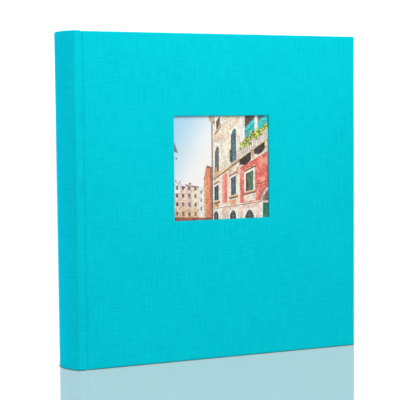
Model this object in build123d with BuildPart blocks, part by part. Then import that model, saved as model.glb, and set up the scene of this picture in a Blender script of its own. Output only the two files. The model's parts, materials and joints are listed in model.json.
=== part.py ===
"""Cloth-bound scrapbook album with a window in its front cover, standing on its tail edges.

X runs from the spine to the fore-edge, Y from the front cover to the back cover, Z up.
The origin is the middle of the base of the album's box. All sizes are in millimetres.
"""
import math
import os

from build123d import *

# Driving dimensions of the closed album
WIDTH = 300.0  # crown of the spine to the fore-edge
HEIGHT = 310.0  # cover boards with their cloth
THICKNESS = 48.0  # over both covers
CROWN = 10.5  # how far the rounded spine stands out behind its shoulders
HEADCAP = 0.5  # how much taller the spine stands than the boards

# Layers of the covers, from outside to inside
CLOTH = 0.5
BOARD = 2.0
CARD = 0.5  # backing card, as thick as the turn-ins that it lies between
PASTEDOWN = 0.2
TURN_IN = 15.0  # cloth folded over onto the inside of a board
PASTEDOWN_INSET = 3.0

# Window in the front cover
WINDOW = 99.0
WINDOW_FROM_SHOULDER = 95.5
WINDOW_FROM_TAIL = 133.5
PRINT = 0.2
PRINT_CLEARANCE = 0.1

# Spine and outer joints
INLAY = 1.0  # formed card inside the spine cloth
FLANGE = 6.0  # flat flange of that card on each side
GROOVE_WIDTH = 3.2  # pressed joint between the flange and the board
GROOVE_DEPTH = 0.7
JOINT_GAP = 0.15  # half of the gap left between the two bodies at the groove

# Book block
LEAVES = 30
LEAF = 0.45
FLYLEAF = 0.2
INTERLEAF = 0.1
SQUARE = 4.0  # how far the boards stand out past the leaves at head and tail
FORE_SQUARE = 5.0
STUB = 11.5  # shoulder to the crease that the leaves turn on
CREASE_GAP = 0.3
GUARD_SETBACK = 1.5  # guards end this far behind the crease
BLOCK = 40.2  # thickness of the thirty leaves with their guards
FLYLEAF_OFFSET = 20.3  # centre of each flyleaf from the middle of the block
INTERLEAF_STEP = 0.55  # interleaf behind its own leaf
INTERLEAF_START = 12.0  # free edge of an interleaf from the crease
INTERLEAF_INSET = 1.0
LEAF_BIAS = 0.2  # a leaf lies this far forward in its share of the block

# Linings and bands on the block's back
HOLLOW = 1.2
LINING = 0.3
BAND_WIDTH = 2.0
BAND_HEIGHT = 2.6

# Planes and radii worked out from the above
HALF = THICKNESS / 2
FORE_X = WIDTH / 2
CROWN_X = -WIDTH / 2
SHOULDER_X = CROWN_X + CROWN
FLANGE_X = SHOULDER_X + FLANGE
GROOVE_X = FLANGE_X + GROOVE_WIDTH / 2
BOARD_X = FLANGE_X + GROOVE_WIDTH
CREASE_X = SHOULDER_X + STUB
SPINE_RADIUS = (HALF**2 + CROWN**2) / (2 * CROWN)
SPINE_CENTRE = CROWN_X + SPINE_RADIUS
PAPER_RADIUS = SPINE_RADIUS - CLOTH - INLAY - CLOTH - HOLLOW
MULL_RADIUS = PAPER_RADIUS - LINING
BLOCK_RADIUS = MULL_RADIUS - LINING
CORE = CLOTH + BOARD + CARD
LEAF_LOW = SQUARE
LEAF_HIGH = HEIGHT - SQUARE
LEAF_FORE = FORE_X - FORE_SQUARE
PITCH = BLOCK / LEAVES
WINDOW_X = (SHOULDER_X + WINDOW_FROM_SHOULDER, SHOULDER_X + WINDOW_FROM_SHOULDER + WINDOW)
WINDOW_Z = (WINDOW_FROM_TAIL, WINDOW_FROM_TAIL + WINDOW)


def leaf_y(number):
    """Middle of a leaf's thickness, leaf 1 being next to the front flyleaf."""
    return -BLOCK / 2 + (number - 0.5) * PITCH - LEAF_BIAS


def grown(span, amount):
    """A (low, high) span made longer by amount at each end."""
    return span[0] - amount, span[1] + amount


def slab(x_span, y_span, z_span, mode=Mode.ADD):
    """A flat-faced block between three (low, high) spans."""
    spans = (x_span, y_span, z_span)
    with Locations(tuple((low + high) / 2 for low, high in spans)):
        Box(*(high - low for low, high in spans), mode=mode)


def depth_span(side, shallow, deep):
    """The Y span between two depths below a cover's outer face; side is -1 front, 1 back."""
    return tuple(sorted((side * (HALF - shallow), side * (HALF - deep))))


def spine_outline(depth):
    """Edges of the crown's arc at a depth below the cloth, with both flanges, closed."""
    radius = SPINE_RADIUS - depth
    half = HALF - depth
    shoulder_x = SPINE_CENTRE - math.sqrt(radius**2 - half**2)
    with BuildLine() as outline:
        Polyline((shoulder_x, -half), (FLANGE_X, -half), (FLANGE_X, half), (shoulder_x, half))
        ThreePointArc((shoulder_x, half), (SPINE_CENTRE - radius, 0), (shoulder_x, -half))
    return outline.edges()


def spine_layer(outer_depth, inner_depth, z_span):
    """One layer of the spine between two depths, from z_span[0] up to z_span[1]."""
    with BuildSketch(Plane.XY.offset(z_span[0])) as section:
        make_face(spine_outline(outer_depth))
        make_face(spine_outline(inner_depth), mode=Mode.SUBTRACT)
    extrude(section.sketch, amount=z_span[1] - z_span[0])


def groove_lip(side, face_x, bottom_x, height):
    """Cloth sloping from a cover's face at face_x to the bottom of the pressed groove."""
    with BuildSketch(Plane.XY) as section:
        with BuildLine():
            Polyline(
                (face_x, side * HALF),
                (bottom_x, side * (HALF - GROOVE_DEPTH)),
                (bottom_x, side * (HALF - GROOVE_DEPTH - CLOTH)),
                (face_x, side * (HALF - CLOTH)),
                close=True,
            )
        make_face()
    extrude(section.sketch, amount=height)


def cover_cloth(side):
    """Cloth over one board, turned in round its head, tail and fore-edge."""
    slab((BOARD_X, FORE_X), depth_span(side, 0, CORE), (0, HEIGHT))
    slab(
        (BOARD_X, FORE_X - CLOTH),
        depth_span(side, CLOTH, CLOTH + BOARD),
        (CLOTH, HEIGHT - CLOTH),
        mode=Mode.SUBTRACT,
    )
    slab(
        (BOARD_X, FORE_X - TURN_IN),
        depth_span(side, CLOTH + BOARD, CORE),
        (TURN_IN, HEIGHT - TURN_IN),
        mode=Mode.SUBTRACT,
    )
    groove_lip(side, BOARD_X, GROOVE_X + JOINT_GAP, HEIGHT)


def cover_board(side):
    """The greyboard of one cover."""
    slab(
        (BOARD_X, FORE_X - CLOTH),
        depth_span(side, CLOTH, CLOTH + BOARD),
        (CLOTH, HEIGHT - CLOTH),
    )


def backing_card(side):
    """The card that fills the space between a board's turn-ins."""
    slab(
        (BOARD_X, FORE_X - TURN_IN),
        depth_span(side, CLOTH + BOARD, CORE),
        (TURN_IN, HEIGHT - TURN_IN),
    )


def pastedown(side):
    """The half of an endpaper that is pasted to the inside of a cover."""
    slab(
        (BOARD_X + PASTEDOWN_INSET / 2, FORE_X - PASTEDOWN_INSET),
        depth_span(side, CORE, CORE + PASTEDOWN),
        (PASTEDOWN_INSET, HEIGHT - PASTEDOWN_INSET),
    )


def flyleaf(side):
    """The free half of an endpaper."""
    middle = side * FLYLEAF_OFFSET
    slab(
        (CREASE_X + CREASE_GAP, LEAF_FORE),
        (middle - FLYLEAF / 2, middle + FLYLEAF / 2),
        (LEAF_LOW, LEAF_HIGH),
    )


def back_arc(outer_radius, inner_radius, z_span):
    """A curved strip that follows the rounded back of the block."""
    with BuildSketch(Plane.XY.offset(z_span[0])) as section:
        with Locations((SPINE_CENTRE, 0)):
            Circle(outer_radius)
            Circle(inner_radius, mode=Mode.SUBTRACT)
        with Locations((CROWN_X, 0)):
            Rectangle(2 * (FLANGE_X - CROWN_X), BLOCK, mode=Mode.INTERSECT)
    extrude(section.sketch, amount=z_span[1] - z_span[0])


def stub_row(middles, thickness, end_x):
    """Strips glued up in the block's rounded back, one at each Y in middles."""
    with BuildSketch(Plane.XY.offset(LEAF_LOW)) as section:
        with Locations(*[((CROWN_X + end_x) / 2, middle) for middle in middles]):
            Rectangle(end_x - CROWN_X, thickness)
        with Locations((SPINE_CENTRE, 0)):
            Circle(BLOCK_RADIUS, mode=Mode.INTERSECT)
    extrude(section.sketch, amount=LEAF_HIGH - LEAF_LOW)


def save(builder, name):
    """Label a finished sub-part and write it."""
    builder.part.label = name
    export_step(builder.part, f"parts/{name}.step")


os.makedirs("parts", exist_ok=True)

# Front cover: board with its window, backing card, print, cloth and pastedown
with BuildPart() as front_board:
    cover_board(-1)
    slab(
        grown(WINDOW_X, CLOTH),
        depth_span(-1, CLOTH, CLOTH + BOARD),
        grown(WINDOW_Z, CLOTH),
        mode=Mode.SUBTRACT,
    )
save(front_board, "front_board")

with BuildPart() as window_backing:
    backing_card(-1)
save(window_backing, "window_backing")

with BuildPart() as cover_photo:
    slab(
        grown(WINDOW_X, -PRINT_CLEARANCE),
        depth_span(-1, CLOTH + BOARD - PRINT, CLOTH + BOARD),
        grown(WINDOW_Z, -PRINT_CLEARANCE),
    )
save(cover_photo, "cover_photo")

with BuildPart() as front_cloth:
    cover_cloth(-1)
    slab(
        grown(WINDOW_X, CLOTH),
        depth_span(-1, 0, CLOTH + BOARD),
        grown(WINDOW_Z, CLOTH),
    )
    slab(WINDOW_X, depth_span(-1, 0, CLOTH + BOARD), WINDOW_Z, mode=Mode.SUBTRACT)
save(front_cloth, "front_cloth")

with BuildPart() as front_pastedown:
    pastedown(-1)
save(front_pastedown, "front_pastedown")

# Back cover
with BuildPart() as back_board:
    cover_board(1)
save(back_board, "back_board")

with BuildPart() as back_card:
    backing_card(1)
save(back_card, "back_card")

with BuildPart() as back_cloth:
    cover_cloth(1)
save(back_cloth, "back_cloth")

with BuildPart() as back_pastedown:
    pastedown(1)
save(back_pastedown, "back_pastedown")

# Spine: formed card inside cloth that is folded over its head and tail
with BuildPart() as spine_inlay:
    spine_layer(CLOTH, CLOTH + INLAY, (CLOTH, HEIGHT + HEADCAP - CLOTH))
save(spine_inlay, "spine_inlay")

SPINE_HIGH = HEIGHT + HEADCAP
with BuildPart() as spine_cloth:
    spine_layer(0, CLOTH, (0, SPINE_HIGH))
    for low, high in ((0, TURN_IN), (SPINE_HIGH - TURN_IN, SPINE_HIGH)):
        spine_layer(CLOTH + INLAY, 2 * CLOTH + INLAY, (low, high))
    for low, high in ((0, CLOTH), (SPINE_HIGH - CLOTH, SPINE_HIGH)):
        spine_layer(CLOTH, CLOTH + INLAY, (low, high))
    for side in (-1, 1):
        groove_lip(side, FLANGE_X, GROOVE_X - JOINT_GAP, HEIGHT)
save(spine_cloth, "spine_cloth")

# Back of the book block: linings, bands, guards and the leaves' glued roots
with BuildPart() as spine_paper:
    back_arc(PAPER_RADIUS, MULL_RADIUS, (LEAF_LOW, LEAF_HIGH))
save(spine_paper, "spine_paper")

with BuildPart() as spine_mull:
    back_arc(MULL_RADIUS, BLOCK_RADIUS, (LEAF_LOW, LEAF_HIGH))
save(spine_mull, "spine_mull")

for name, low in (("head_band", LEAF_HIGH), ("tail_band", LEAF_LOW - BAND_HEIGHT)):
    with BuildPart() as band:
        back_arc(MULL_RADIUS, MULL_RADIUS - BAND_WIDTH, (low, low + BAND_HEIGHT))
    save(band, name)

leaf_numbers = range(1, LEAVES + 1)
with BuildPart() as guard_strips:
    stub_row(
        [leaf_y(number) + PITCH / 2 for number in leaf_numbers[:-1]],
        PITCH - LEAF,
        CREASE_X - GUARD_SETBACK,
    )
save(guard_strips, "guard_strips")

with BuildPart() as leaf_roots:
    stub_row([leaf_y(number) for number in leaf_numbers], LEAF, CREASE_X - CREASE_GAP)
save(leaf_roots, "leaf_roots")

with BuildPart() as endpaper_folds:
    stub_row((-FLYLEAF_OFFSET, FLYLEAF_OFFSET), FLYLEAF, CREASE_X - CREASE_GAP)
save(endpaper_folds, "endpaper_folds")

# Endpapers and leaves, each leaf with the glassine interleaf that lies behind it
for name, side in (("front_flyleaf", -1), ("back_flyleaf", 1)):
    with BuildPart() as free_endpaper:
        flyleaf(side)
    save(free_endpaper, name)

for number in leaf_numbers:
    leaf_middle = leaf_y(number)
    sheet_middle = leaf_middle + INTERLEAF_STEP
    with BuildPart() as leaf:
        slab(
            (CREASE_X + CREASE_GAP, LEAF_FORE),
            (leaf_middle - LEAF / 2, leaf_middle + LEAF / 2),
            (LEAF_LOW, LEAF_HIGH),
        )
        slab(
            (CREASE_X + INTERLEAF_START, LEAF_FORE - INTERLEAF_INSET),
            (sheet_middle - INTERLEAF / 2, sheet_middle + INTERLEAF / 2),
            (LEAF_LOW + INTERLEAF_INSET, LEAF_HIGH - INTERLEAF_INSET),
        )
    save(leaf, f"leaf_{number:02d}")
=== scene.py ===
"""Looks of a cloth-bound scrapbook album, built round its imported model.

Everything is in metres in the album's own frame: X from the spine to the fore-edge, Y from the front cover
to the back cover, Z up, with the tail edges on the floor at Z = 0.
"""
import json
import math

import bmesh
import bpy
import numpy as np
from mathutils import Matrix, Vector


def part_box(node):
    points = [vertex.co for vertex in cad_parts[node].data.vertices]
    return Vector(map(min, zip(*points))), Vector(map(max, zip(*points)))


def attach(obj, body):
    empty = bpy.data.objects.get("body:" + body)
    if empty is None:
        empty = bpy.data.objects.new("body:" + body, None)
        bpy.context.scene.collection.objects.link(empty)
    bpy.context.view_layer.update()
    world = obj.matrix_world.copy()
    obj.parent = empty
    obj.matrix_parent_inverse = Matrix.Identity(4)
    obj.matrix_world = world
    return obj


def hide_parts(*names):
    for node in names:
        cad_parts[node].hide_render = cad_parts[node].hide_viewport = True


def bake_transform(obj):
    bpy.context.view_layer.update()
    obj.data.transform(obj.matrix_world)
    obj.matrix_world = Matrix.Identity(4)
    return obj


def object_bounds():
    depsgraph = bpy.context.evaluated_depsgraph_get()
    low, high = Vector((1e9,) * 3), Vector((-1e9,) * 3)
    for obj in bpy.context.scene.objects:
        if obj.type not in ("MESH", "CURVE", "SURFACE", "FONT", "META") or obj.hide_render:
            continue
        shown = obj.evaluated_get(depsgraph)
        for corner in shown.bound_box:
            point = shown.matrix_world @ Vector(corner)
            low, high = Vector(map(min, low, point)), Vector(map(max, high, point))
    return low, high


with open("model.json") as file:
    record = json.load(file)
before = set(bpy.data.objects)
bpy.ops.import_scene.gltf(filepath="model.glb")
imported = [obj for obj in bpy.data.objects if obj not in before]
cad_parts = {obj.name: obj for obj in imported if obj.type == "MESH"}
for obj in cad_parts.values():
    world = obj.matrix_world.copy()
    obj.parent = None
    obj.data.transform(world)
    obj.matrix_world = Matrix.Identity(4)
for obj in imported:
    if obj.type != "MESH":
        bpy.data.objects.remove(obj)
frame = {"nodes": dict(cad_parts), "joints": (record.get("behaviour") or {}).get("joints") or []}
CAD_LOW, CAD_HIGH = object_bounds()

MM = 0.001
JOINTS = {joint["name"]: joint for joint in frame["joints"]}
CROWN_X, FORE_X = CAD_LOW.x, CAD_HIGH.x
HALF = CAD_HIGH.y
FRONT, BACK = -1, 1
SIDES = {"front": FRONT, "back": BACK}

# Places read from the frame
CREASE_X = JOINTS["leaf_01_hinge"]["pos_m"][0]
BOARD_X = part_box("front_board")[0].x
FLANGE_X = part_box("spine_inlay")[1].x
COVER_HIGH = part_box("front_cloth")[1].z
SPINE_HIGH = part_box("spine_cloth")[1].z
PASTEDOWN_Y = -(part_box("front_pastedown")[0].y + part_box("front_pastedown")[1].y) / 2
FLYLEAF_Y = -(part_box("front_flyleaf")[0].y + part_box("front_flyleaf")[1].y) / 2
LEAF_LOW, LEAF_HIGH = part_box("front_flyleaf")[0].z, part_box("front_flyleaf")[1].z
LEAF_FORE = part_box("front_flyleaf")[1].x
LEAF_NAMES = sorted(name for name in frame["nodes"] if name.startswith("leaf_") and name != "leaf_roots")
PRINT_LOW, PRINT_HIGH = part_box("cover_photo")

# Sizes of the cloth-bound case
CROWN = 10.5 * MM  # crown of the spine behind its shoulders
CORE = 3.0 * MM  # a cover from its outer face to the back of its turn-ins
CLOTH = 0.4 * MM
EDGE_RADIUS = 1.0 * MM
CORNER_RADIUS = 1.2 * MM
TURN_IN = 15.0 * MM
WINDOW_RADIUS = 0.45 * MM
WINDOW_CORNER = 0.6 * MM
PRINT_GAP = 0.1 * MM
SHOULDER_RADIUS = 0.5 * MM
SPINE_FOLD = 2.0 * MM  # spine card with cloth on both sides
GROOVE_DEPTH = 0.7 * MM
FURROW = 2.4 * MM  # width of the pressed furrow beside the flange
SUNK = 0.08 * MM  # how far the joint cloth's last strip lies under the cover cloth
UNDULATION = 0.035 * MM  # half the height of the shallow waves in glued cloth
SEAM_X = FLANGE_X  # spine cloth and joint cloth meet at the end of the flat flange
SPINE_RADIUS = (HALF**2 + CROWN**2) / (2 * CROWN)
SPINE_CENTRE = CROWN_X + SPINE_RADIUS
BLOCK_RADIUS = SPINE_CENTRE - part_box("spine_mull")[0].x - 0.3 * MM

# Sheets of the block
LEAF = 0.45 * MM
PAPER = 0.2 * MM
GLASSINE = 0.08 * MM
ROOT_GAP = 0.1 * MM  # between the rounded back of the block and the root of each sheet
PASTE_GAP = 0.15 * MM  # between a flyleaf and its pastedown at the fold
UNEVEN = 0.25 * MM  # how much the leaves differ in size
RIPPLE = 0.06 * MM  # how far a leaf or interleaf waves out of flat

TURN = 2 * math.pi


# ---------------------------------------------------------------- meshes


def grid_piece(name, points, material, flip=False, closed=False, smooth=True):
    """A mesh of quads through points[i, j]; closed joins the last j to the first."""
    rows, columns = points.shape[:2]
    index = np.arange(rows * columns).reshape(rows, columns)
    if closed:
        index = np.hstack([index, index[:, :1]])
    quads = np.stack([index[:-1, :-1], index[1:, :-1], index[1:, 1:], index[:-1, 1:]], -1)
    quads = quads.reshape(-1, 4)
    if flip:
        quads = quads[:, ::-1]
    return mesh_piece(name, points.reshape(-1, 3), quads, material, smooth)


def mesh_piece(name, points, faces, material, smooth=True):
    """An object at the origin from points and faces."""
    mesh = bpy.data.meshes.new(name)
    mesh.from_pydata(points.tolist(), [], [list(face) for face in faces])
    mesh.polygons.foreach_set("use_smooth", [smooth] * len(mesh.polygons))
    mesh.materials.append(material)
    piece = bpy.data.objects.new(name, mesh)
    bpy.context.scene.collection.objects.link(piece)
    return piece


def set_attribute(piece, name, values):
    """Stores one 3-vector per point under a name that a material reads."""
    layer = piece.data.attributes.new(name, "FLOAT_VECTOR", "POINT")
    layer.data.foreach_set("vector", np.ascontiguousarray(values, dtype=np.float32).reshape(-1))


def join_doubles(piece, distance=1e-6):
    """Merges points that lie on each other, so that seams and corners are closed."""
    work = bmesh.new()
    work.from_mesh(piece.data)
    bmesh.ops.remove_doubles(work, verts=work.verts, dist=distance)
    work.to_mesh(piece.data)
    work.free()


def thicken(piece, thickness, offset=-1.0):
    """Gives a sheet its thickness; offset -1 keeps the outer face where it is."""
    solidify = piece.modifiers.new("thickness", "SOLIDIFY")
    solidify.thickness = thickness
    solidify.offset = offset


def smoothstep(value):
    """0 below 0, 1 above 1, and a smooth cubic in between."""
    clipped = np.clip(value, 0, 1)
    return clipped * clipped * (3 - 2 * clipped)


def arc(centre, radius, start, end, steps):
    """Points on a circle from one angle to another, in turns, both ends included."""
    angle = np.linspace(start, end, steps) * TURN
    return np.stack([centre[0] + radius * np.cos(angle), centre[1] + radius * np.sin(angle)], -1)


# ---------------------------------------------------------------- materials


class Nodes:
    """A short way to write the node tree of a new material, or of the world."""

    def __init__(self, name="", world=None):
        self.owner = world or bpy.data.materials.new(name)
        self.owner.use_nodes = True
        self.tree = self.owner.node_tree
        self.shader = self.tree.nodes.get("Principled BSDF")

    def add(self, kind, inputs=None, **settings):
        """A node with its settings, and values or links for its inputs."""
        node = self.tree.nodes.new("ShaderNode" + kind)
        for key, value in settings.items():
            setattr(node, key, value)
        for key, value in (inputs or {}).items():
            self.put(node.inputs[key], value)
        return node

    def put(self, socket, value):
        """Links a socket, or sets its value."""
        if isinstance(value, bpy.types.NodeSocket):
            self.tree.links.new(value, socket)
        else:
            socket.default_value = value

    def math(self, operation, first, second=0.0):
        """One arithmetic step."""
        return self.add("Math", {0: first, 1: second}, operation=operation).outputs[0]

    def mix(self, factor, first, second):
        """A blend of two colours."""
        node = self.add("Mix", data_type="RGBA")
        self.put(node.inputs["Factor"], factor)
        self.put(node.inputs[6], first)
        self.put(node.inputs[7], second)
        return node.outputs[2]

    def stretched(self, coordinates, sizes, detail=2.0, location=(0, 0, 0)):
        """Noise whose patches have the given sizes in metres along each axis."""
        scale = tuple(1 / size for size in sizes)
        mapping = self.add("Mapping", {"Vector": coordinates, "Scale": scale, "Location": location})
        noise = self.add("TexNoise", {"Vector": mapping.outputs[0], "Scale": 1.0, "Detail": detail})
        return noise.outputs["Fac"]

    def finish(self, colour, roughness, height, distance, strength=1.0, specular=0.3):
        """Links colour and bump, and sets the plain values on the shader itself."""
        self.put(self.shader.inputs["Base Color"], colour)
        self.put(self.shader.inputs["Roughness"], roughness)
        self.shader.inputs["Specular IOR Level"].default_value = specular
        bump = self.add("Bump", {"Height": height, "Distance": distance, "Strength": strength})
        self.put(self.shader.inputs["Normal"], bump.outputs[0])
        return self.owner


THREAD = 0.75 * MM  # spacing of the cloth's threads
STRAY = 1.6 * MM  # how far they stray sideways
SLUB = 1.1 * MM  # thickness of a slub, a thicker stretch of thread
SLUB_HIGH, SLUB_WIDE = 22 * MM, 16 * MM  # lengths of the upright and the level slubs
DEEP_DYE, PALE_DYE = (0.0, 0.53, 0.65, 1), (0.003, 0.665, 0.765, 1)


def book_cloth():
    """Fine turquoise linen: a plain weave, slubs both ways, and every third thread heavier in patches.

    A thread's height is a sine of the distance across it. The shade adds up the slubs' noise, the weave, the
    patches and the heavy threads, and it runs from the deep dye to the pale one.
    """
    n = Nodes("turquoise_book_cloth")
    weave = n.add("Attribute", attribute_name="weave").outputs["Vector"]
    wander = n.stretched(weave, (9 * MM, 9 * MM, 9 * MM))
    offset = n.math("MULTIPLY", wander, STRAY)
    split = n.add("SeparateXYZ", {0: weave})
    across = n.math("ADD", split.outputs[0], offset)
    along = n.math("SUBTRACT", split.outputs[1], offset)
    warp = n.math("SINE", n.math("MULTIPLY", across, math.pi / THREAD))
    weft = n.math("SINE", n.math("MULTIPLY", along, math.pi / THREAD))
    crossing = n.math("MULTIPLY", warp, weft)
    threads = n.math("ADD", n.math("ABSOLUTE", warp), n.math("ABSOLUTE", weft))
    plain = n.math("ADD", n.math("MULTIPLY", crossing, 0.5), n.math("MULTIPLY", threads, 0.35))
    upright = n.stretched(weave, (SLUB, SLUB_HIGH, MM), 1.0)
    level = n.stretched(weave, (SLUB_WIDE, SLUB, MM), 1.0, (3, 5, 0))
    slubs = n.math("ADD", upright, level)
    patches = n.stretched(weave, (60 * MM, 60 * MM, 60 * MM), 1.0)
    shade = n.math("ADD", n.math("MULTIPLY", slubs, 0.58), n.math("MULTIPLY", plain, 0.16))
    shade = n.math("ADD", shade, n.math("MULTIPLY", patches, 0.25))
    heavy_warp = n.math("SINE", n.math("MULTIPLY", across, TURN / (3 * THREAD)))
    heavy_weft = n.math("SINE", n.math("MULTIPLY", along, TURN / (3 * THREAD)))
    heavy = n.math("MULTIPLY", n.math("ADD", heavy_warp, heavy_weft), n.math("MULTIPLY", patches, 0.16))
    shade = n.math("ADD", shade, heavy)
    ramp = n.add("ValToRGB", {0: shade})
    for element, place, dye in zip(ramp.color_ramp.elements, (0.40, 0.90), (DEEP_DYE, PALE_DYE)):
        element.position = place
        element.color = dye
    height = n.math("ADD", n.math("MULTIPLY", plain, 0.5), n.math("MULTIPLY", slubs, 0.6))
    return n.finish(ramp.outputs[0], 0.95, height, 0.09 * MM, 0.8, 0.0)


def paper(name, light, dark, fibre=0.5, roughness=0.8, specular=0.2):
    """Uncoated paper or card: a faint cloudy tint and short fibres under the surface."""
    n = Nodes(name)
    place = n.add("TexCoord").outputs["Object"]
    cloud = n.stretched(place, (14 * MM, 14 * MM, 14 * MM), 3.0)
    fibres = n.stretched(place, (0.5 * MM, 0.5 * MM, 0.9 * MM), 4.0, (7, 1, 2))
    amount = n.math("ADD", n.math("MULTIPLY", cloud, 0.6), n.math("MULTIPLY", fibres, fibre))
    colour = n.mix(amount, (*light, 1), (*dark, 1))
    return n.finish(colour, roughness, fibres, 0.03 * MM, 0.6, specular)


def glassine():
    """Translucent interleaf with an embossed web of fine ridges."""
    n = Nodes("glassine")
    place = n.add("TexCoord").outputs["Object"]
    bend = n.stretched(place, (6 * MM, 6 * MM, 6 * MM), 1.0)
    web = n.add(
        "TexVoronoi",
        {"Vector": place, "Scale": 1 / (9 * MM)},
        feature="DISTANCE_TO_EDGE",
    )
    ridge = n.math("LESS_THAN", web.outputs["Distance"], 0.035)
    colour = n.mix(n.math("MULTIPLY", bend, 0.6), (0.83, 0.83, 0.80, 1), (0.74, 0.74, 0.72, 1))
    material = n.finish(colour, 0.34, ridge, 0.05 * MM, 0.5, 0.5)
    n.shader.inputs["Alpha"].default_value = 0.62
    return material


def gauze():
    """Open cotton gauze stuck down with glue."""
    n = Nodes("mull")
    place = n.add("TexCoord").outputs["Object"]
    split = n.add("SeparateXYZ", {0: place})
    upright = n.math("SINE", n.math("MULTIPLY", split.outputs[1], math.pi / MM))
    level = n.math("SINE", n.math("MULTIPLY", split.outputs[2], math.pi / MM))
    threads = n.math("MAXIMUM", n.math("ABSOLUTE", upright), n.math("ABSOLUTE", level))
    colour = n.mix(threads, (0.42, 0.37, 0.28, 1), (0.80, 0.78, 0.70, 1))
    return n.finish(colour, 0.9, threads, 0.2 * MM)


def band_cotton():
    """Head and tail band: white and turquoise threads wound in turn over a cord."""
    n = Nodes("band_cotton")
    wound = n.add("Attribute", attribute_name="wound").outputs["Vector"]
    split = n.add("SeparateXYZ", {0: wound})
    stripe = n.math("SINE", n.math("MULTIPLY", split.outputs[0], TURN / (3.2 * MM)))
    thread = n.math("ABSOLUTE", n.math("SINE", n.math("MULTIPLY", split.outputs[0], math.pi / (0.4 * MM))))
    fuzz = n.stretched(wound, (0.3 * MM, 0.3 * MM, 0.3 * MM))
    colour = n.mix(n.math("GREATER_THAN", stripe, 0.0), (0.86, 0.85, 0.80, 1), (0.02, 0.50, 0.58, 1))
    colour = n.mix(n.math("MULTIPLY", fuzz, 0.35), colour, (0.30, 0.33, 0.33, 1))
    return n.finish(colour, 0.75, thread, 0.1 * MM)


def photo_print():
    """Semi-gloss picture print; its colours are painted on the sheet's points."""
    n = Nodes("photo_print")
    painted = n.add("Attribute", attribute_name="painted").outputs["Color"]
    place = n.add("TexCoord").outputs["Object"]
    grain = n.stretched(place, (0.4 * MM, 0.4 * MM, 0.4 * MM))
    return n.finish(painted, 0.32, grain, 0.01 * MM, 0.3, 0.35)


CLOTH_LOOK = book_cloth()
LEAF_LOOK = paper("leaf_card", (0.86, 0.835, 0.77), (0.79, 0.76, 0.69))
GUARD_LOOK = paper("guard_card", (0.80, 0.77, 0.70), (0.70, 0.67, 0.60))
ENDPAPER_LOOK = paper("endpaper", (0.87, 0.86, 0.83), (0.80, 0.79, 0.76), 0.35)
GREYBOARD_LOOK = paper("greyboard", (0.40, 0.37, 0.33), (0.22, 0.21, 0.19), 0.9, 0.95)
CARD_LOOK = paper("backing_card", (0.60, 0.56, 0.48), (0.48, 0.45, 0.38), 0.7, 0.9)
KRAFT_LOOK = paper("lining_paper", (0.42, 0.29, 0.17), (0.31, 0.21, 0.12), 0.7, 0.85)
GLASSINE_LOOK = glassine()
MULL_LOOK = gauze()
BAND_LOOK = band_cotton()
PRINT_LOOK = photo_print()

for node, look in {
    "front_board": GREYBOARD_LOOK,
    "back_board": GREYBOARD_LOOK,
    "window_backing": CARD_LOOK,
    "back_card": CARD_LOOK,
    "spine_inlay": CARD_LOOK,
    "spine_mull": MULL_LOOK,
    "spine_paper": KRAFT_LOOK,
    "guard_strips": GUARD_LOOK,
}.items():
    for material_slot in frame["nodes"][node].material_slots:
        material_slot.material = look


# ---------------------------------------------------------------- cloth case

PER_SIDE, PER_CORNER = 56, 5


def rounded_frame(low, high, radius):
    """Points round a rectangle, anticlockwise seen from the front.

    Each corner is an arc of the same quarter turn, whatever its radius, and each straight side is divided
    evenly, so that frames of different sizes have matching points. low and high are (x, z) corners.
    """
    rows = []
    corners = [
        (high[0], low[1], 0.75),
        (high[0], high[1], 0.0),
        (low[0], high[1], 0.25),
        (low[0], low[1], 0.5),
    ]
    arcs = []
    for x, z, start in corners:
        centre = (
            x - math.copysign(radius, x - low[0] - radius),
            z - math.copysign(radius, z - low[1] - radius),
        )
        arcs.append(arc(centre, radius, start, start + 0.25, PER_CORNER))
    for current, following in zip(arcs, arcs[1:] + arcs[:1]):
        share = np.linspace(0, 1, PER_SIDE + 1)[1:-1, None]
        rows += [current, current[-1] * (1 - share) + following[0] * share]
    return np.concatenate(rows)


def waves(x, z):
    """A few long shallow waves, between -1 and 1, such as glued cloth on board shows."""
    return (
        0.5 * np.sin(x * 41 + z * 17 + 0.6)
        + 0.3 * np.sin(z * 67 - x * 23 + 1.9)
        + 0.2 * np.sin(x * 113 + z * 89 + 4.0)
    )


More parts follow.
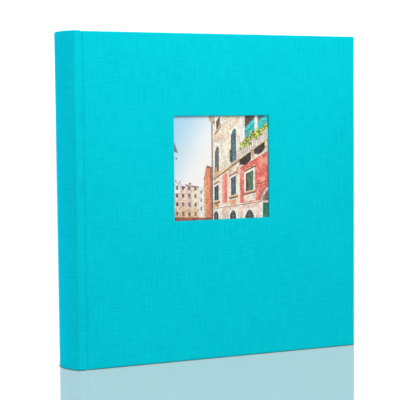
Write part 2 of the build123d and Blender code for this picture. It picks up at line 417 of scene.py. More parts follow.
def cover_rings(low, high, inner_low, inner_high, inner_radius, window_depth):
    """The cloth of one cover as rings of (x, z, depth).

    The rings run from the foot of the window's wall, over its edge, across the face as an even blend of the
    window's outline into the cover's, round the board's edge in two quarter circles, and 15 mm onto the
    inside. depth is measured from the outer face.
    """
    rings = []

    def ring(rect_low, rect_high, inset, radius, depth):
        outline = rounded_frame(
            (rect_low[0] + inset, rect_low[1] + inset),
            (rect_high[0] - inset, rect_high[1] - inset),
            max(radius, 1e-7),
        )
        rings.append(np.column_stack([outline, np.full(len(outline), depth)]))

    if window_depth:
        for depth in np.linspace(window_depth, WINDOW_RADIUS, 4):
            ring(inner_low, inner_high, 0, inner_radius, depth)
        for turn in np.linspace(0, 0.25, 5)[1:] * TURN:
            inset = -WINDOW_RADIUS * (1 - math.cos(turn))
            ring(inner_low, inner_high, inset, inner_radius - inset, WINDOW_RADIUS * (1 - math.sin(turn)))
    else:
        ring(inner_low, inner_high, 0, inner_radius, 0)
    first = rings[-1]
    ring(low, high, EDGE_RADIUS, CORNER_RADIUS - EDGE_RADIUS, 0)
    last = rings.pop()
    for share in np.linspace(0, 1, 42)[1:]:
        blend = first * (1 - share) + last * share
        calm = smoothstep(min(share, 1 - share) * 8)
        blend[:, 2] = UNDULATION * calm * (1 + waves(blend[:, 0], blend[:, 1]))
        rings.append(blend)
    for turn in np.linspace(0, 0.25, 6)[1:] * TURN:
        inset = EDGE_RADIUS * (1 - math.sin(turn))
        ring(low, high, inset, CORNER_RADIUS - inset, EDGE_RADIUS * (1 - math.cos(turn)))
    for turn in np.linspace(0, 0.25, 6) * TURN:
        inset = EDGE_RADIUS * (1 - math.cos(turn))
        depth = CORE - EDGE_RADIUS * (1 - math.sin(turn))
        ring(low, high, inset, CORNER_RADIUS - inset, depth)
    for inset in np.linspace(EDGE_RADIUS, TURN_IN, 5)[1:]:
        ring(low, high, inset, 0, CORE)
    return np.stack(rings)


def cover_cloth(name, side):
    """Book cloth over one cover. The weave runs on over the edges: x and z grow with depth there."""
    low, high = (BOARD_X, 0.0), (FORE_X, COVER_HIGH)
    inner_low = (PRINT_LOW.x - PRINT_GAP, PRINT_LOW.z - PRINT_GAP)
    inner_high = (PRINT_HIGH.x + PRINT_GAP, PRINT_HIGH.z + PRINT_GAP)
    depth = PRINT_LOW.y + HALF if side == FRONT else 0
    rings = cover_rings(low, high, inner_low, inner_high, WINDOW_CORNER if depth else 0, depth)
    points = np.stack([rings[..., 0], side * (HALF - rings[..., 2]), rings[..., 1]], -1)
    weave = np.stack([rings[..., 0] + rings[..., 2], rings[..., 1] + rings[..., 2], 0 * rings[..., 0]], -1)
    piece = grid_piece(name, points, CLOTH_LOOK, flip=side == BACK, closed=True)
    set_attribute(piece, "weave", weave)
    if side == BACK:
        x = np.linspace(inner_low[0], inner_high[0], PER_SIDE + 1)
        z = np.linspace(inner_low[1], inner_high[1], PER_SIDE + 1)
        x, z = np.meshgrid(x, z, indexing="ij")
        centre = grid_piece("centre", np.stack([x, HALF + 0 * x, z], -1), CLOTH_LOOK, flip=True)
        set_attribute(centre, "weave", np.stack([x, z, 0 * x], -1))
        with bpy.context.temp_override(active_object=piece, selected_editable_objects=[piece, centre]):
            bpy.ops.object.join()
    join_doubles(piece)
    thicken(piece, CLOTH)
    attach(piece, f"{name.split('_')[0]}_cover")
    return piece


def folded_cloth(name, outline_at, fold, high, flip=False):
    """Cloth over a card that stands up from z = 0 to high, folded over its head and tail.

    outline_at(depth) gives the cloth's line in plan at a depth behind its outer face. The cloth climbs the
    outer face, turns over each end in a half circle of diameter fold, and comes back 15 mm along the inside.
    """
    radius = fold / 2
    head = arc((high - radius, radius), radius, 0.25, -0.25, 11)[::-1]
    face = np.linspace(radius, high - radius, 64)[1:-1]
    tail = np.stack([high - head[::-1, 0], head[::-1, 1]], -1)
    start = np.array([[TURN_IN, fold]])
    end = np.array([[high - TURN_IN, fold]])
    rise = np.concatenate([start, tail, np.stack([face, 0 * face], -1), head, end])
    z, depth = rise[:, 0], rise[:, 1]
    plan = np.stack([outline_at(step) for step in depth], 1)
    points = np.concatenate([plan, np.broadcast_to(z[None, :, None], plan.shape[:2] + (1,))], -1)
    piece = grid_piece(name, points, CLOTH_LOOK, flip=flip)
    length = np.concatenate([[0], np.cumsum(np.hypot(np.diff(z), np.diff(depth)))])
    length -= np.interp(radius, z[len(tail) :], length[len(tail) :]) - radius
    outline = outline_at(0)
    run = np.concatenate([[0], np.cumsum(np.linalg.norm(np.diff(outline, axis=0), axis=1))])
    weave = np.stack(np.broadcast_arrays(outline[0, 0] + run[:, None], length[None, :], 0.0), -1)
    set_attribute(piece, "weave", weave)
    thicken(piece, CLOTH)
    return piece


def spine_outline(depth):
    """The spine in plan at a depth behind its outer face, from the front seam round to the back seam.

    A straight flange, a small arc at the shoulder, and the crown's arc of one radius. The shoulder's arc
    touches the flange's line and the crown's circle from inside; deeper lines have smaller arcs.
    """
    radius = max(SHOULDER_RADIUS - depth, 0.02 * MM)
    half, crown_radius = HALF - depth, SPINE_RADIUS - depth
    shoulder = SPINE_CENTRE - math.sqrt((crown_radius - radius) ** 2 - (half - radius) ** 2)
    touch = 0.5 + math.atan2(half - radius, SPINE_CENTRE - shoulder) / TURN
    flange = np.stack([np.linspace(SEAM_X, shoulder, 6)[:-1], np.full(5, -half)], -1)
    edge = arc((shoulder, radius - half), radius, 0.75, touch, 7)
    crown = arc((SPINE_CENTRE, 0), crown_radius, touch, 0.5, 40)[1:]
    front_half = np.concatenate([flange, edge, crown])
    return np.concatenate([front_half, (front_half * [1, -1])[-2::-1]])


def spine_cloth():
    """Cloth over the rounded spine, from the front flange round the crown to the back flange."""
    piece = folded_cloth("spine_cloth", spine_outline, SPINE_FOLD, SPINE_HIGH, flip=True)
    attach(piece, "spine")
    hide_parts("spine_cloth")


def joint_cloth(name, side):
    """Cloth across a pressed joint: a sine-squared furrow beside the flange, then level onto the board.

    Its last strip sinks just under the cover's own cloth.
    """
    x = np.linspace(SEAM_X, BOARD_X + EDGE_RADIUS, 44)
    furrow = np.sin(np.clip((x - FLANGE_X) / FURROW, 0, 1) * math.pi) ** 2 * GROOVE_DEPTH
    x, furrow = np.append(x, x[-1] + 0.3 * MM), np.append(furrow, SUNK)

    def outline_at(depth):
        return np.stack([x, side * (HALF - depth - furrow)], -1)

    piece = folded_cloth(name, outline_at, 2.2 * CLOTH, COVER_HIGH - 0.2 * MM, flip=side == BACK)
    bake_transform(piece)


front_cloth = cover_cloth("front_cloth", FRONT)
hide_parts("front_cloth")
back_cloth = cover_cloth("back_cloth", BACK)
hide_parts("back_cloth")
spine_cloth()
joint_cloth("front_joint", FRONT)
joint_cloth("back_joint", BACK)


# ---------------------------------------------------------------- picture print

PRINT_STEPS = 280  # points along each side of the print
SOFT = 0.006  # width of a painted edge, as a share of the picture


def mottle(across, up, wide, high, seed):
    """Cloudy noise from -1 to 1: seeded values on a lattice of cells wide by high, blended smoothly."""
    lattice = np.random.default_rng(seed).uniform(-1, 1, (64, 64))
    column, row = (across / wide) % 63, (up / high) % 63
    left, below = column.astype(int), row.astype(int)
    right_share, top_share = smoothstep(column - left), smoothstep(row - below)
    low = lattice[left, below] * (1 - right_share) + lattice[left + 1, below] * right_share
    high_row = lattice[left, below + 1] * (1 - right_share) + lattice[left + 1, below + 1] * right_share
    return low * (1 - top_share) + high_row * top_share


def between(value, low, high, soft=SOFT):
    """1 where value lies between low and high, with edges of width soft."""
    return smoothstep((value - low) / soft + 0.5) * smoothstep((high - value) / soft + 0.5)


# The near wall stands in perspective: its level lines all meet at this point beside the picture
MEETING_ACROSS, MEETING_UP = -0.15, 0.045

CREAM, STONE, PINK, RED = (0.98, 0.94, 0.88), (0.94, 0.88, 0.80), (0.96, 0.70, 0.65), (0.92, 0.45, 0.40)
PANE, SHADE, LEAF_GREEN = (0.25, 0.27, 0.31), (0.26, 0.20, 0.19), (0.62, 0.66, 0.30)
TURQUOISE, ORANGE, DOOR_GREEN = (0.27, 0.76, 0.76), (0.88, 0.60, 0.42), (0.22, 0.45, 0.38)


class Picture:
    """Paint on a grid: across runs from left to right and up from bottom to top, both from 0 to 1."""

    def __init__(self, size):
        share = np.linspace(0, 1, size)
        self.across, self.up = np.meshgrid(share, share, indexing="ij")
        self.colour = np.zeros((size, size, 3))
        self.seed = 0

    def paint(self, mask, colour, cloud=0.1, grain=(0.05, 0.05)):
        """Lays a colour over the mask, lighter and darker in clouds of the grain's size."""
        self.seed += 2
        shade = 1 + cloud * (
            0.6 * mottle(self.across, self.up, *grain, self.seed)
            + 0.4 * mottle(self.across, self.up, grain[0] / 3, grain[1] / 3, self.seed + 1)
        )
        layer = np.clip(np.asarray(colour) * shade[..., None], 0, 1)
        self.colour += (layer - self.colour) * mask[..., None]

    def slanted(self, middle, height):
        """A level line of the near wall that passes a height at the place middle."""
        slope = (height - MEETING_UP) / (middle - MEETING_ACROSS)
        return height + slope * (self.across - middle)

    def panel(self, left, right, low, high):
        """A mask with upright sides whose bottom and top are level lines of the near wall."""
        middle = (left + right) / 2
        bottom, top = self.slanted(middle, low), self.slanted(middle, high)
        return between(self.across, left, right) * between(self.up, bottom, top)

    def window(self, left, right, low, high, arched=False, glass=PANE):
        """A pale surround, a dark opening with glazing bars, and a sill with its shadow."""
        wide, middle = right - left, (left + right) / 2
        crown = 1.3 * ((self.across - middle) ** 2) / wide * (2 if arched else 0)
        surround = self.panel(left - 0.25 * wide, right + 0.25 * wide, low - 0.01, high + 0.02)
        self.paint(surround, CREAM, 0.12, (0.03, 0.03))
        hole = self.panel(left, right, low, high) * between(self.up, -1, self.slanted(middle, high) - crown)
        self.paint(hole, glass, 0.4, (0.012, 0.04))
        bars = np.maximum(
            between(self.across, middle - 0.002, middle + 0.002, 0.004),
            between(self.up - self.slanted(middle, (low + high) / 2), -0.002, 0.002),
        )
        self.paint(hole * bars * 0.6, (0.66, 0.68, 0.68))
        self.paint(hole * between(self.across, -1, left + 0.14 * wide), SHADE)
        self.paint(self.panel(left - 0.4 * wide, right + 0.35 * wide, low - 0.022, low - 0.008), ORANGE, 0.2)
        self.paint(self.panel(left - 0.4 * wide, right + 0.35 * wide, low - 0.032, low - 0.022), SHADE, 0.2)


def paint_sky(picture):
    """Pale blue in the upper left, paling to a warm white towards the roofs and the near wall."""
    x, y = picture.across, picture.up
    height = smoothstep(1.0 * y - 1.7 * x + 0.02)[..., None]
    picture.colour = np.array([0.985, 0.965, 0.955]) * (1 - height) + np.array([0.68, 0.85, 0.94]) * height
    picture.colour += 0.012 * mottle(x, y, 0.3, 0.2, 5)[..., None]


def paint_far_houses(picture):
    """A low row of houses on the left, a white wall, and a narrow orange house with a sloping roof."""
    x, y = picture.across, picture.up
    roofs = 0.372 - 0.19 * x + 0.022 * np.round(mottle(x, 0 * y, 0.021, 1, 3) * 1.4) * between(x, -1, 0.2)
    row = between(y, -1, roofs) * between(x, -1, 0.262)
    picture.paint(row, (0.90, 0.79, 0.73), 0.16, (0.02, 0.03))
    picture.paint(row * between(x, -1, 0.068) * between(y, 0.27, 1), (0.95, 0.93, 0.92), 0.1)
    picture.paint(row * between(x, 0.185, 0.252), (0.95, 0.88, 0.79), 0.08)
    picture.paint(row * between(y, roofs - 0.012, roofs), (0.55, 0.42, 0.40), 0.5, (0.02, 0.02))
    picture.paint(row * smoothstep((0.19 - y) / 0.2) * 0.8, (0.86, 0.68, 0.50), 0.3, (0.02, 0.02))
    for left in (0.022, 0.085, 0.148, 0.213):
        for sill in (0.055, 0.145, 0.228, 0.300):
            low = sill - 0.06 * left
            pane = between(x, left, left + 0.021) * between(y, low, low + 0.036)
            picture.paint(pane * row * 0.85, (0.36, 0.27, 0.29), 0.9, (0.03, 0.03))
    wall = between(x, 0.258, 0.316) * between(y, 0.03, 0.318)
    picture.paint(wall, (0.93, 0.93, 0.93), 0.08)
    for sill in (0.09, 0.175, 0.25):
        pane = between(x, 0.276, 0.290) * between(y, sill, sill + 0.035)
        picture.paint(wall * pane, (0.46, 0.50, 0.50), 0.4)
    gable = 0.40 + 0.125 * smoothstep((x - 0.308) / 0.040) - 0.4 * np.clip(x - 0.35, 0, 1)
    house = between(x, 0.312, 0.398) * between(y, -1, gable)
    picture.paint(house, (0.86, 0.66, 0.50), 0.2, (0.03, 0.03))
    picture.paint(house * between(x, 0.338, 0.382), (0.90, 0.52, 0.38), 0.22, (0.02, 0.06))
    picture.paint(house * between(x, 0.380, 1), (0.62, 0.50, 0.44), 0.3, (0.02, 0.06))
    picture.paint(house * between(y, gable - 0.022, 1), (0.50, 0.36, 0.30), 0.3)
    quay = between(y, -1, 0.038 - 0.05 * x) * between(x, -1, 0.40)
    picture.paint(quay, (0.58, 0.35, 0.28), 0.6, (0.012, 0.02))
    eave = between(y, 0.65 + 0.5 * (0.04 - x), 0.775 - 2.6 * x) * between(x, -1, 0.045)
    picture.paint(eave, (0.50, 0.50, 0.50), 0.2)
    picture.paint(between(np.hypot(x - 0.03, y - 0.595), -1, 0.009), (0.50, 0.56, 0.60), 0.3)
    picture.paint(between(x, 0.0, 0.03) * between(y, 0.600, 0.605), (0.62, 0.66, 0.68), 0.1)


def paint_near_wall(picture):
    """A tall stone house: a ledge across it, bare stone above, red plaster between pale pilasters below."""
    x, y = picture.across, picture.up
    wall = between(x, 0.412, 2)
    picture.paint(wall, STONE, 0.10, (0.05, 0.08))
    worn = between(mottle(x, y, 0.05, 0.08, 22), 0.2, 2, 0.5)
    picture.paint(wall * worn * 0.6, (0.91, 0.78, 0.67), 0.15)
    picture.paint(wall * between(mottle(x, y, 0.04, 0.07, 23), 0.35, 2, 0.4) * 0.8, CREAM)
    picture.paint(picture.panel(0.412, 1.1, -1, 0.145), (0.93, 0.80, 0.74), 0.16)
    picture.paint(picture.panel(0.500, 0.556, 0.155, 0.43), RED, 0.18, (0.03, 0.06))
    picture.paint(picture.panel(0.503, 0.530, 0.155, 0.43) * 0.75, PINK, 0.2, (0.02, 0.04))
    picture.paint(picture.panel(0.695, 1.1, 0.155, 0.60), RED, 0.2, (0.05, 0.08))
    flaked = between(mottle(x, y, 0.028, 0.035, 26), 0.15, 2, 0.45)
    picture.paint(picture.panel(0.695, 1.1, 0.155, 0.60) * flaked * 0.55, (0.97, 0.72, 0.66), 0.15)
    for left, right in ((0.473, 0.505), (0.655, 0.694)):
        picture.paint(picture.panel(left, right, -1, 0.455), (0.97, 0.89, 0.82), 0.12, (0.02, 0.05))
    picture.paint(picture.panel(0.735, 0.865, 0.165, 0.245), (0.96, 0.86, 0.79), 0.15, (0.03, 0.03))
    for left, right, height in ((0.412, 0.475, 0.352), (0.580, 0.672, 0.440), (0.740, 0.862, 0.486)):
        lintel = picture.panel(left, right, height, height + 0.012)
        picture.paint(lintel, (0.86, 0.68, 0.52), 0.3, (0.02, 0.02))
        picture.paint(picture.panel(left, right, height - 0.010, height), SHADE, 0.4, (0.02, 0.02))
    picture.paint(picture.panel(0.412, 0.47, 0.10, 0.17), (0.80, 0.60, 0.44), 0.4, (0.02, 0.02))
    picture.paint(picture.panel(0.585, 0.65, 0.125, 0.185), (0.86, 0.58, 0.44), 0.4, (0.02, 0.02))
    picture.paint(picture.panel(0.412, 1.1, 0.142, 0.152), (0.97, 0.93, 0.88), 0.2)
    picture.paint(picture.panel(0.412, 1.1, 0.135, 0.142), (0.56, 0.42, 0.36), 0.5, (0.03, 0.03))


def paint_openings(picture):
    """The near wall's windows: arched above, square below, and shutters beside some of them."""
    picture.window(0.432, 0.472, 0.455, 0.70, True, (0.36, 0.38, 0.38))
    picture.window(0.448, 0.485, 0.89, 0.975, False, (0.36, 0.30, 0.27))
    picture.window(0.603, 0.656, 0.555, 0.87, True, (0.33, 0.42, 0.45))
    for left, right in ((0.586, 0.604), (0.655, 0.668)):
        picture.paint(picture.panel(left, right, 0.555, 0.67), (0.36, 0.42, 0.42), 0.5, (0.01, 0.03))
    picture.window(0.424, 0.466, 0.185, 0.325)
    picture.window(0.600, 0.652, 0.232, 0.408, False, (0.31, 0.35, 0.38))
    picture.window(0.760, 0.838, 0.268, 0.452, False, (0.36, 0.38, 0.34))
    picture.paint(picture.panel(0.800, 0.836, 0.27, 0.45), (0.34, 0.44, 0.32), 0.35, (0.01, 0.06))
    for left, right in ((0.415, 0.462), (0.588, 0.650), (0.750, 0.842)):
        picture.window(left, right, -0.02, 0.08, True, (0.30, 0.26, 0.29))
    picture.paint(picture.panel(0.752, 0.855, 0.80, 1.1), (0.34, 0.30, 0.27), 0.3)
    picture.paint(picture.panel(0.752, 0.855, 0.82, 0.93), TURQUOISE, 0.35, (0.05, 0.008))
    picture.paint(picture.panel(0.752, 0.855, 0.868, 0.880), (0.14, 0.44, 0.48), 0.3)
    picture.paint(picture.panel(0.890, 1.1, 0.87, 1.1), (0.36, 0.52, 0.52), 0.3)
    picture.paint(picture.panel(0.890, 1.1, 0.93, 1.02), TURQUOISE, 0.35, (0.05, 0.008))
    for left, right in ((0.700, 0.745), (0.857, 0.888)):
        picture.paint(picture.panel(left, right, 0.75, 1.2), (0.95, 0.93, 0.91), 0.1, (0.02, 0.05))


def paint_balcony(picture):
    """The ledge that becomes a balcony on the right, its balusters and plants, and the gateway below."""
    x, y = picture.across, picture.up
    ledge = picture.slanted(0.70, 0.588)
    wall = between(x, 0.412, 2)
    under = between(y, ledge - 0.030, ledge - 0.012) * between(x, 0, 0.70)
    picture.paint(wall * under, (0.62, 0.46, 0.38), 0.5)
    picture.paint(wall * between(y, ledge - 0.012, ledge + 0.006), (0.90, 0.78, 0.56), 0.25, (0.03, 0.03))
    for left in (0.574, 0.655, 0.42):
        bracket = picture.panel(left, left + 0.03, 0.42, 0.50) * 0.7
        picture.paint(bracket, (0.86, 0.66, 0.55), 0.4, (0.01, 0.02))
    deck = between(x, 0.692, 2)
    vault = 0.062 + 0.045 * np.abs(np.sin((x - 0.70) * 21)) - 0.05 * (x - 0.70)
    picture.paint(deck * between(y, ledge - vault, ledge - 0.008), SHADE, 0.5, (0.02, 0.02))
    picture.paint(deck * between(y, ledge - 0.010, ledge + 0.008), (0.86, 0.84, 0.58), 0.3, (0.02, 0.02))
    rail = between(x, 0.655, 2) * between(y, ledge + 0.008, ledge + 0.10)
    picture.paint(rail, (0.92, 0.86, 0.85), 0.15, (0.02, 0.04))
    picture.paint(rail * between((x * 44) % 1, 0.0, 0.35, 0.3) * 0.6, (0.62, 0.55, 0.55), 0.3)
    picture.paint(between(x, 0.655, 2) * between(y, ledge + 0.098, ledge + 0.108), (0.95, 0.93, 0.88))
    top = ledge + 0.165 + 0.035 * mottle(x, y, 0.03, 0.05, 46)
    low = ledge + 0.075 + 0.035 * mottle(x, y, 0.02, 0.03, 47)
    plants = between(x, 0.70, 2, 0.03) * between(y, low, top, 0.02)
    picture.paint(plants, LEAF_GREEN, 0.6, (0.014, 0.014))
    picture.paint(plants * between(mottle(x, y, 0.011, 0.011, 49), 0.25, 2, 0.4), (0.93, 0.90, 0.56))
    picture.paint(plants * between(mottle(x, y, 0.012, 0.012, 50), 0.45, 2, 0.3), (0.34, 0.42, 0.20))
    for left in (0.815, 0.965):
        bracket = between(x, left, left + 0.034) * between(y, ledge - 0.085, ledge - 0.012)
        picture.paint(bracket, (0.90, 0.76, 0.66), 0.3, (0.02, 0.02))
    arch = np.hypot((x - 1.03) / 0.125, (y - 0.10) / 0.215)
    above = between(y, 0.155, 2)
    picture.paint(picture.panel(0.88, 1.1, 0.355, 0.362), (0.50, 0.34, 0.33), 0.3)
    picture.paint(picture.panel(0.88, 1.1, 0.325, 0.331), (0.50, 0.34, 0.33), 0.3)
    picture.paint(between(arch, 0.80, 1.02, 0.05) * above, (0.88, 0.74, 0.68), 0.3, (0.02, 0.02))
    picture.paint(between(arch, 0.98, 1.03, 0.05) * above, (0.46, 0.36, 0.33), 0.3)
    picture.paint(between(arch, -1, 0.80, 0.05) * above, (0.52, 0.46, 0.42), 0.4, (0.02, 0.02))
    picture.paint(between(x, 0.905, 2) * between(y, 0.145, 0.165), (0.88, 0.80, 0.74), 0.2)
    picture.paint(between(x, 0.905, 0.945) * between(y, -1, 0.145), (0.95, 0.91, 0.88), 0.1)
    picture.paint(between(x, 0.942, 2) * between(y, -1, 0.145), DOOR_GREEN, 0.3, (0.012, 0.08))
    picture.paint(between(x, 0.396, 0.408), (0.46, 0.41, 0.39), 0.2)
    picture.paint(between(x, 0.408, 0.417), (0.93, 0.88, 0.80), 0.2)
    gutter = between(y, 0.955 - (x - 0.37), 2) * between(x, 0.37, 0.43)
    picture.paint(gutter, (0.72, 0.64, 0.55), 0.4, (0.02, 0.02))


def paint_street():
    """The print's own picture: an old street under a pale sky, seen from below. Gives linear colours."""
    picture = Picture(PRINT_STEPS)
    paint_sky(picture)
    sky = picture.colour.copy()
    paint_far_houses(picture)
    paint_near_wall(picture)
    paint_openings(picture)
    paint_balcony(picture)
    built = smoothstep(np.abs(picture.colour - sky).sum(-1) * 4)
    grain = mottle(picture.across, picture.up, 0.009, 0.009, 61) * (0.004 + 0.13 * built)
    return np.clip(picture.colour * (1.01 + grain[..., None]), 0, 1) ** 2.2


def cover_print():
    """The print as a thin sheet: a fine grid in front, with its edge turned down all round."""
    x = np.linspace(PRINT_LOW.x, PRINT_HIGH.x, PRINT_STEPS)
    z = np.linspace(PRINT_LOW.z, PRINT_HIGH.z, PRINT_STEPS)
    pad = np.pad(np.arange(PRINT_STEPS), 1, mode="edge")
    x, z = np.meshgrid(x[pad], z[pad], indexing="ij")
    y = np.full(x.shape, PRINT_LOW.y)
    rim = np.ones(x.shape, bool)
    rim[1:-1, 1:-1] = False
    y[rim] = PRINT_HIGH.y
    piece = grid_piece("cover_photo", np.stack([x, y, z], -1), PRINT_LOOK, smooth=False)
    colours = paint_street()[pad][:, pad]
    layer = piece.data.color_attributes.new("painted", "FLOAT_COLOR", "POINT")
    rgba = np.concatenate([colours, np.ones(x.shape + (1,))], -1)
    layer.data.foreach_set("color", rgba.astype(np.float32).reshape(-1))
    join_doubles(piece)
    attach(piece, "front_cover")
    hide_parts("cover_photo")


cover_print()


# ---------------------------------------------------------------- endpapers and leaves


def back_of_block(y):
    """Where the block's rounded back lies at y, on its circle."""
    return SPINE_CENTRE - math.sqrt(BLOCK_RADIUS**2 - y**2)


def sheet_piece(name, x, y, low, high, thickness, material, ripple=0.0, phase=0.0):
    """A standing sheet: y is its place at each x, plus a slow ripple that dies out at the crease.

    The ripple is a sine along x times a cosine along z.
    """
    z = np.linspace(low, high, 15)
    grid_x, grid_z = np.meshgrid(x, z, indexing="ij")
    free = smoothstep((grid_x - CREASE_X) / (LEAF_FORE - CREASE_X))
    wave = np.sin(grid_x * 19 + phase) * np.cos(grid_z * 13 + 2 * phase)
    grid_y = np.broadcast_to(np.asarray(y, float).reshape(-1, 1), grid_x.shape) + ripple * free * wave
    piece = grid_piece(name, np.stack([grid_x, grid_y, grid_z], -1), material)
    thicken(piece, thickness, 0.0)
    return piece


def leaf_stations(start, end):
    """x of a sheet's points: close together about the crease, wider apart beyond."""
    root = np.linspace(start, CREASE_X - 2 * MM, 3)
    bend = np.linspace(CREASE_X - 2 * MM, CREASE_X + 8 * MM, 13)[1:]
    return np.concatenate([root, bend, np.linspace(CREASE_X + 8 * MM, end, 14)[1:]])


BEND_START, BEND_END = (CREASE_X - 1.5 * MM, 0, 0), (CREASE_X + 4 * MM, 0, 0)


def leaves():
    """Thirty leaves of card, each with the glassine that lies behind it and nests against its crease."""
    for order, node in enumerate(LEAF_NAMES):
        middle = JOINTS[f"{node}_hinge"]["pos_m"][1]
        phase = order * 2.4
        trim = UNEVEN * math.sin(phase * 1.7)
        x = leaf_stations(back_of_block(middle) + ROOT_GAP, LEAF_FORE + trim - 0.3 * MM)
        high = LEAF_HIGH + trim / 2
        leaf = sheet_piece(node, x, middle, LEAF_LOW, high, LEAF, LEAF_LOOK, RIPPLE, phase)
        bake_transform(leaf)
        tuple(BEND_START)
        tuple(BEND_END)
        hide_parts(node, "leaf_roots")
        x = leaf_stations(CREASE_X - 3 * MM, LEAF_FORE - 1.2 * MM - trim)
        away = 0.3 * MM + 0.25 * MM * smoothstep((x - CREASE_X) / (15 * MM))
        name, low, high = node.replace("leaf", "interleaf"), LEAF_LOW + MM, LEAF_HIGH - MM
        sheet = sheet_piece(name, x, middle + away, low, high, GLASSINE, GLASSINE_LOOK, RIPPLE, phase)
        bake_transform(sheet)
        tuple(BEND_START)
        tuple(BEND_END)


def endpaper(word, side):
    """One endpaper: a free flyleaf, and a pastedown that runs from the fold across the inner joint."""
    x = leaf_stations(back_of_block(FLYLEAF_Y) + ROOT_GAP, LEAF_FORE)
    flyleaf = sheet_piece(
        f"{word}_flyleaf", x, side * FLYLEAF_Y, LEAF_LOW, LEAF_HIGH, PAPER, ENDPAPER_LOOK, 0.05 * MM, side
    )
    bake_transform(flyleaf)
    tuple(BEND_START)
    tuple(BEND_END)
    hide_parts(f"{word}_flyleaf", "endpaper_folds")
    low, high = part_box(f"{word}_pastedown")
    fold_x = back_of_block(FLYLEAF_Y) + 0.2 * MM
    near = np.linspace(fold_x, BOARD_X + 2 * MM, 24)
    x = np.concatenate([near, np.linspace(BOARD_X + 2 * MM, high.x, 30)[1:]])
    rise = smoothstep((x - fold_x - 2 * MM) / (BOARD_X - fold_x - 2 * MM))
    y = side * (FLYLEAF_Y + PASTE_GAP + (PASTEDOWN_Y - FLYLEAF_Y - PASTE_GAP) * rise)
    pastedown = sheet_piece(f"{word}_pastedown", x, y, low.z, high.z, PAPER, ENDPAPER_LOOK)
    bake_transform(pastedown)
    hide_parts(f"{word}_pastedown")


leaves()
for word, side in SIDES.items():
    endpaper(word, side)


def band(name):
    """Head or tail band: a cord wound with thread along the block's back, a tube carried along an arc.

    Its radius rises and falls with each turn of thread.
    """
    low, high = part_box(name)
    radius = (high.z - low.z) / 2
    path_radius = SPINE_CENTRE - low.x - radius
    reach = math.asin(high.y / (SPINE_CENTRE - low.x)) / TURN
    angle = np.linspace(0.5 - reach, 0.5 + reach, 200) * TURN
    run = angle * path_radius
    section = np.linspace(0, TURN, 13)[:-1]
    size = radius * (0.90 + 0.10 * np.abs(np.sin(run * math.pi / (0.8 * MM))))
    size[[0, -1]] = 0.02 * radius
    out = path_radius + size[:, None] * np.cos(section)
    z = (low.z + high.z) / 2 + size[:, None] * np.sin(section)
    points = np.stack([SPINE_CENTRE + out * np.cos(angle[:, None]), out * np.sin(angle[:, None]), z], -1)
    piece = grid_piece(name, points, BAND_LOOK, closed=True)
    wound = np.stack(np.broadcast_arrays(run[:, None], section[None, :] * radius, 0.0), -1)
    set_attribute(piece, "wound", wound)
    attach(piece, "spine")
    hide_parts(name)


band("head_band")
band("tail_band")


# ---------------------------------------------------------------- floor, light and camera

MIRROR_SHARE = 0.48  # how much of the floor's look is a reflection
FLOOR_GLOW = 0.70  # the rest of it, as the eye sees it
FLOOR_BOUNCE = 0.15  # and as it lights the album
FLOOR_GREY = (0.10, 0.10, 0.10, 1)
CONTACT_REACH = 1.8 * MM  # width of the painted contact shadow, a dark line under the album
CONTACT_POWER = 1.7
SURROUNDINGS = 1.30  # brightness of the white surroundings to the eye and in mirrors
AMBIENT, AMBIENT_TINT = 0.52, (0.94, 0.98, 1.08, 1)  # the same surroundings as light
KEY_POWER = 3.45
FILL_POWER = 4.5


def floor():
    """A white glossy floor: a glow and a mirror image mixed, both darkened close under the album by a
    painted contact shadow from ambient occlusion.
    """
    bpy.ops.mesh.primitive_plane_add(size=40, location=(0, 12, 0))
    plane = bpy.context.object
    plane.name = "floor"
    n = Nodes("floor")
    lighting = n.add("LightPath").outputs["Is Diffuse Ray"]
    level = n.add("MapRange", {"Value": lighting, "To Min": FLOOR_GLOW, "To Max": FLOOR_BOUNCE})
    # painted contact shadow: ambient occlusion darkens the glow and the mirror image close under the album
    painted_contact_shadow = n.add("AmbientOcclusion", {"Distance": CONTACT_REACH})
    dark = n.math("POWER", painted_contact_shadow.outputs["AO"], CONTACT_POWER)
    glow = n.add("Emission", {"Strength": n.math("MULTIPLY", level.outputs[0], dark)})
    diffuse = n.add("BsdfDiffuse", {"Color": FLOOR_GREY})
    gloss = n.add("BsdfGlossy", {"Color": dark, "Roughness": 0.03})
    body = n.add("AddShader", {0: glow.outputs[0], 1: diffuse.outputs[0]})
    whole = n.add("MixShader", {0: MIRROR_SHARE, 1: body.outputs[0], 2: gloss.outputs[0]})
    n.put(n.tree.nodes["Material Output"].inputs["Surface"], whole.outputs[0])
    plane.data.materials.append(n.owner)


def softbox(name, place, target, side, power, colour):
    """A square area light that faces a target."""
    light = bpy.data.lights.new(name, "AREA")
    light.shape = "RECTANGLE"
    light.size = light.size_y = side
    light.energy = power
    light.color = colour
    lamp = bpy.data.objects.new(name, light)
    lamp.location = place
    lamp.rotation_euler = (Vector(target) - Vector(place)).to_track_quat("-Z", "Y").to_euler()
    bpy.context.scene.collection.objects.link(lamp)
    return light


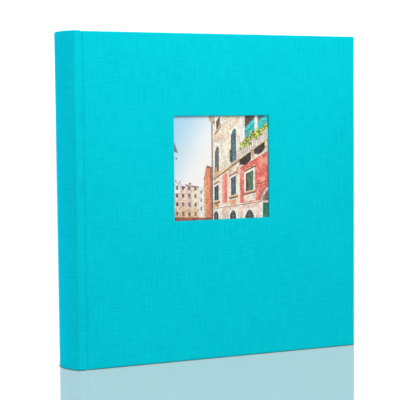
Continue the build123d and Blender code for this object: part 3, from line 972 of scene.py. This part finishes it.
def studio():
    """White surroundings, brighter to the eye and in mirrors than as light, and three soft lights."""
    world = bpy.data.worlds.new("studio")
    bpy.context.scene.world = world
    n = Nodes(world=world)
    seen = n.math("LESS_THAN", n.add("LightPath").outputs["Diffuse Depth"], 0.5)
    level = n.add("MapRange", {"Value": seen, "To Min": AMBIENT, "To Max": SURROUNDINGS})
    background = n.tree.nodes["Background"]
    n.put(background.inputs["Strength"], level.outputs[0])
    n.put(background.inputs["Color"], n.mix(seen, AMBIENT_TINT, (1, 1, 1, 1)))
    key = softbox("key", (0.08, -0.85, 1.15), (0, 0, 0.60), 0.8, KEY_POWER, (1, 1, 0.93))
    key.spread = math.radians(80)
    cool, white = (0.85, 0.98, 1.18), (1, 1, 1)
    softbox("left fill", (-1.40, 0.90, 0.45), (-0.14, 0, 0.15), 1.0, 2.7 * FILL_POWER, cool)
    softbox("right fill", (1.40, 0.70, 0.80), (0.14, 0, 0.15), 1.0, FILL_POWER, white)


VIEW_TURN = (math.radians(22.89), math.radians(3.87), math.radians(-0.54))  # yaw, pitch and roll
VIEW_TARGET, VIEW_DISTANCE = Vector((-18.2 * MM, -HALF, 152.9 * MM)), 1.111
LENS, FILM = 105.4, 36  # focal length and film width, in millimetres


def camera():
    """The camera: from the left of the front cover and a little above, it looks at the album's middle.

    Its three axes come from yaw and pitch, and the two across the view are then turned by roll.
    """
    yaw, pitch, roll = VIEW_TURN
    ahead = Vector((math.sin(yaw) * math.cos(pitch), math.cos(yaw) * math.cos(pitch), -math.sin(pitch)))
    right = Vector((math.cos(yaw), -math.sin(yaw), 0))
    up = right.cross(ahead)
    rolled_right = right * math.cos(roll) + up * math.sin(roll)
    rolled_up = up * math.cos(roll) - right * math.sin(roll)
    data = bpy.data.cameras.new("camera")
    data.lens, data.sensor_width = LENS, FILM
    eye = bpy.data.objects.new("camera", data)
    turn = Matrix((rolled_right, rolled_up, -ahead)).transposed()
    eye.matrix_world = Matrix.Translation(VIEW_TARGET - ahead * VIEW_DISTANCE) @ turn.to_4x4()
    bpy.context.scene.collection.objects.link(eye)
    bpy.context.scene.camera = eye


floor()
studio()
camera()
bpy.context.scene.view_settings.view_transform = "Standard"
